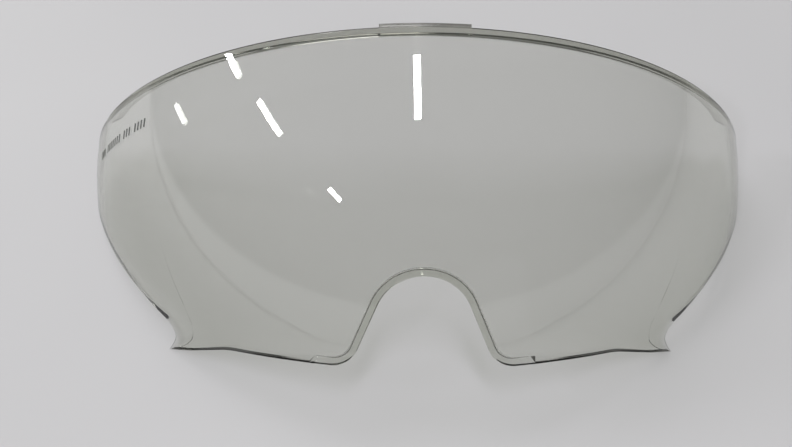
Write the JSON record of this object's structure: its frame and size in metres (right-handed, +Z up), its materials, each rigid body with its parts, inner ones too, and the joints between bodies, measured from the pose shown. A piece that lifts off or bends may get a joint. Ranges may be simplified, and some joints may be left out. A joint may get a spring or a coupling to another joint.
{
  "type": "face shield",
  "caption": "Half-face shield lens: one domed clear smoke moulding with a nose cut, a brow tab, return flanges and flared lower lips, lying convex side up.",
  "frame": {"origin": "on the table plane, under the middle of the overall box of the shield as it lies", "axes": "+X across the shield from temple to temple, -Y towards the nose cut at the front, +Z up from the table"},
  "size_m": [0.2312, 0.0978, 0.0839],
  "materials": {
    "smoke_polycarbonate": "polished, transparent grey-green smoke tint",
    "black_ink": "thin pad-printed ink"
  },
  "bodies": {
    "root": {"lens": "smoke_polycarbonate", "printed_marking": "black_ink"}
  },
  "joints": []
}
